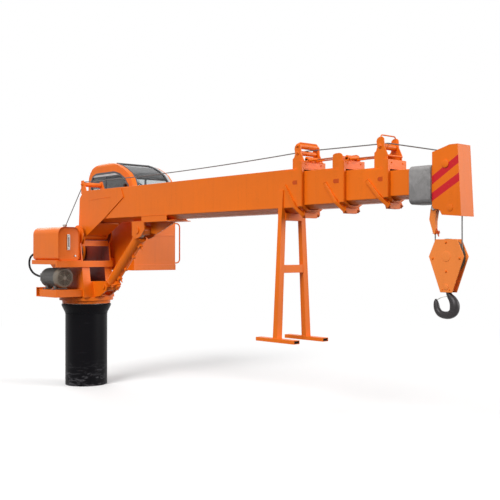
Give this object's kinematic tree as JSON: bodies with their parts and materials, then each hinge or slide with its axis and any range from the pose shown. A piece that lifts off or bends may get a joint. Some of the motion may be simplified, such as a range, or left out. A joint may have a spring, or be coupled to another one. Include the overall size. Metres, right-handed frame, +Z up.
{
  "type": "marine crane",
  "caption": "Deck crane on a round column with slewing turret, operator cab, power pack, telescopic box boom, luffing cylinder, rope hoist, hook block and boom rest.",
  "frame": {"origin": "centre of the column foot, on its flat underside", "axes": "+X along the boom to its tip, +Y towards the cab side, +Z up the column"},
  "size_m": [7.958, 2.126, 3.62],
  "materials": {
    "orange_paint": "gloss sprayed machine paint",
    "black_paint": "gloss black paint with scuffs",
    "grey_paint": "grey machine enamel",
    "grey_primer": "matt grey primer with smudges",
    "wire_rope": "greased steel wire rope",
    "bare_steel": "turned steel",
    "chrome_rod": "hard chrome",
    "black_iron": "black forged steel",
    "cab_glass": "tinted safety glass",
    "hose_rubber": "matt black rubber",
    "gauge_plastic": "clear gauge over white scale plate"
  },
  "bodies": {
    "pedestal": {"column": "black_paint", "slew_bearing": "bare_steel"},
    "turret": {"turntable": "orange_paint", "turret_frame": "orange_paint", "boom_pin": "bare_steel", "cylinder_foot": "orange_paint", "winch_drum": "wire_rope", "winch_motor": "orange_paint", "oil_tank": "orange_paint", "tank_front": "orange_paint", "tank_rear": "orange_paint", "level_gauge": "gauge_plastic", "tank_tray": "orange_paint", "pump_motor": "grey_paint", "suction_hose": "hose_rubber", "motor_shelf": "orange_paint", "cab_shell": "orange_paint", "cab_glass_front": "cab_glass", "cab_glass_near": "cab_glass", "cab_glass_far": "cab_glass", "cab_glass_rear": "cab_glass", "grab_rail": "orange_paint", "rope_winch_run": "wire_rope"},
    "luff_barrel": {"luff_barrel": "orange_paint"},
    "luff_rod": {"luff_rod": "chrome_rod"},
    "boom_base": {"base_section": "orange_paint", "boom_tail": "orange_paint", "luff_bracket": "orange_paint", "tail_roller": "orange_paint", "collar_1": "orange_paint", "rope_roller_1": "orange_paint", "boom_rest": "orange_paint", "rope_base": "wire_rope", "rope_mid": "wire_rope", "extension_rope_1": "wire_rope", "extension_rope_2": "wire_rope"},
    "section_2": {"section_2": "orange_paint", "collar_2": "orange_paint", "extension_rope_3": "wire_rope", "extension_rope_4": "wire_rope"},
    "section_3": {"section_3": "orange_paint", "collar_3": "orange_paint", "rope_roller_3": "orange_paint", "rope_tip": "wire_rope"},
    "section_4": {"section_4": "orange_paint", "tip_sleeve": "grey_primer", "boom_head": "orange_paint", "head_sheave": "orange_paint", "rope_head": "wire_rope"},
    "falls": {"wedge_socket": "orange_paint", "rope_dead": "wire_rope", "rope_live": "wire_rope"},
    "hook_block": {"hook_block": "orange_paint", "block_sheave": "bare_steel"},
    "hook": {"hook": "black_iron", "hook_latch": "bare_steel"}
  },
  "joints": [
    {"name": "slew", "type": "hinge", "parent": "pedestal", "child": "turret", "pos_m": [0, 0, 1.362], "axis": [0, 0, 1], "continuous": true},
    {"name": "luff", "type": "hinge", "parent": "turret", "child": "boom_base", "pos_m": [0.19, 0, 2.41], "axis": [0, -1, 0], "range_deg": [0, 70], "deforming": ["rope_winch_run"]},
    {"name": "luff_barrel_turn", "type": "hinge", "parent": "turret", "child": "luff_barrel", "pos_m": [0.683, 0, 1.594], "axis": [0, -1, 0], "range_deg": [0, 48.73]},
    {"name": "luff_rod_slide", "type": "slide", "parent": "luff_barrel", "child": "luff_rod", "axis": [0.7383, 0, 0.6745], "range_m": [0, 0.9052]},
    {"name": "telescope", "type": "slide", "parent": "boom_base", "child": "section_2", "axis": [1, 0, 0], "range_m": [0, 3], "deforming": ["rope_mid", "extension_rope_1", "extension_rope_2"]},
    {"name": "telescope_3", "type": "slide", "parent": "section_2", "child": "section_3", "axis": [1, 0, 0], "range_m": [0, 3], "deforming": ["extension_rope_3", "extension_rope_4"]},
    {"name": "telescope_4", "type": "slide", "parent": "section_3", "child": "section_4", "axis": [1, 0, 0], "range_m": [0, 3], "deforming": ["rope_tip"]},
    {"name": "hook_hang", "type": "hinge", "parent": "section_4", "child": "falls", "pos_m": [6.775, 0, 2.572], "axis": [0, -1, 0], "range_deg": [-70, 0]},
    {"name": "hoist", "type": "slide", "parent": "falls", "child": "hook_block", "axis": [0, 0, -1], "range_m": [0, 1.4], "deforming": ["rope_dead", "rope_live"]},
    {"name": "hook_swivel", "type": "hinge", "parent": "hook_block", "child": "hook", "pos_m": [6.935, 0, 1.72], "axis": [0, 0, 1], "continuous": true}
  ],
  "couplings": [
    {"joint": "luff_barrel_turn", "follows": "luff", "ratio": 0.69544},
    {"joint": "luff_rod_slide", "follows": "luff", "m_per_rad": 0.74051},
    {"joint": "telescope_3", "follows": "telescope", "ratio": 1},
    {"joint": "telescope_4", "follows": "telescope", "ratio": 1},
    {"joint": "hook_hang", "follows": "luff", "ratio": -1}
  ]
}
